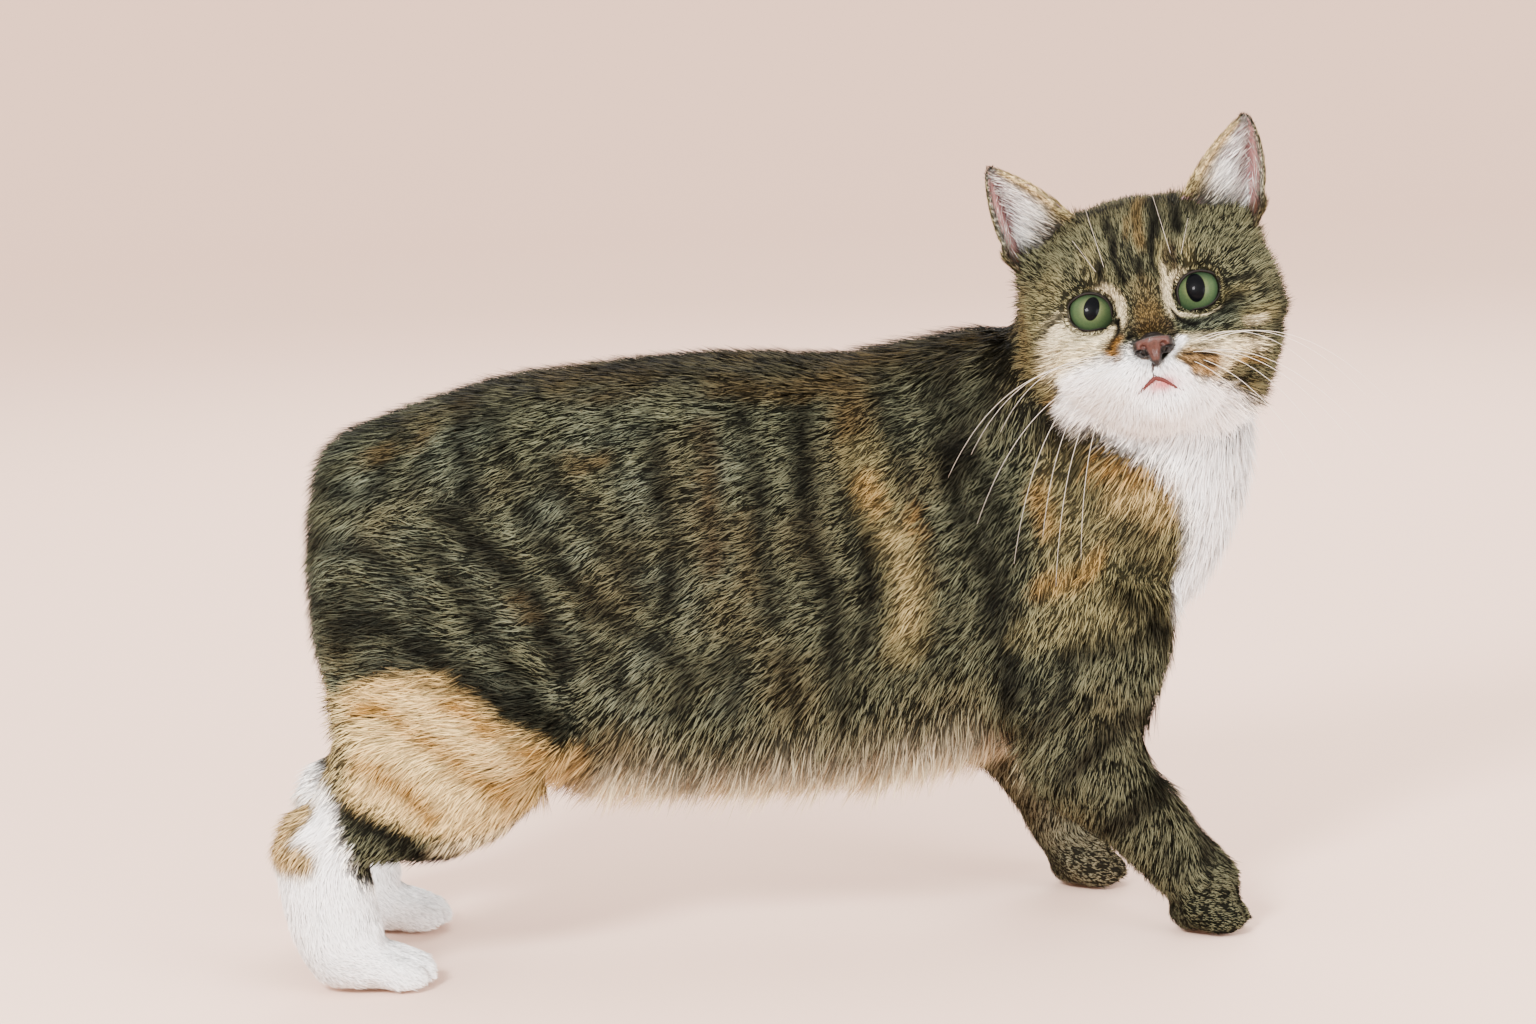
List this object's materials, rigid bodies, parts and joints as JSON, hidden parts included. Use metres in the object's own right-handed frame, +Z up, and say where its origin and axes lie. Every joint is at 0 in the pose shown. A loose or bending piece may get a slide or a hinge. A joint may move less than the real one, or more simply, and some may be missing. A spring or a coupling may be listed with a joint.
{
  "type": "manx cat",
  "caption": "Still, life-size model of a tailless tabby, ginger and white cat, standing side on with its head turned to its right.",
  "frame": {"origin": "on the floor, under the middle of the whole figure", "axes": "+X the way the body faces, +Y to the cat's left, +Z up"},
  "size_m": [0.455, 0.194, 0.3295],
  "materials": {
    "tabby_coat": "dense soft brown tabby fur with dark stripes",
    "ginger_coat": "cream fur with ginger bars",
    "white_coat": "short white fur",
    "ear_skin": "thin skin with fine hair",
    "eye": "wet green eye with a dark oval pupil",
    "nose_leather": "fine grained, slightly moist"
  },
  "bodies": {
    "root": {"abdomen": "tabby_coat", "chest": "tabby_coat", "ear_left": "ear_skin", "ear_right": "ear_skin", "eye_left": "eye", "eye_right": "eye", "forearm_left": "tabby_coat", "forearm_right": "tabby_coat", "forepaw_left": "tabby_coat", "forepaw_right": "tabby_coat", "head": "tabby_coat", "hind_foot_left": "white_coat", "hind_foot_right": "white_coat", "neck": "tabby_coat", "nose": "nose_leather", "rump": "tabby_coat", "shank_left": "ginger_coat", "shank_right": "ginger_coat", "thigh_left": "tabby_coat", "thigh_right": "tabby_coat", "upper_arm_left": "tabby_coat", "upper_arm_right": "tabby_coat"}
  },
  "joints": []
}
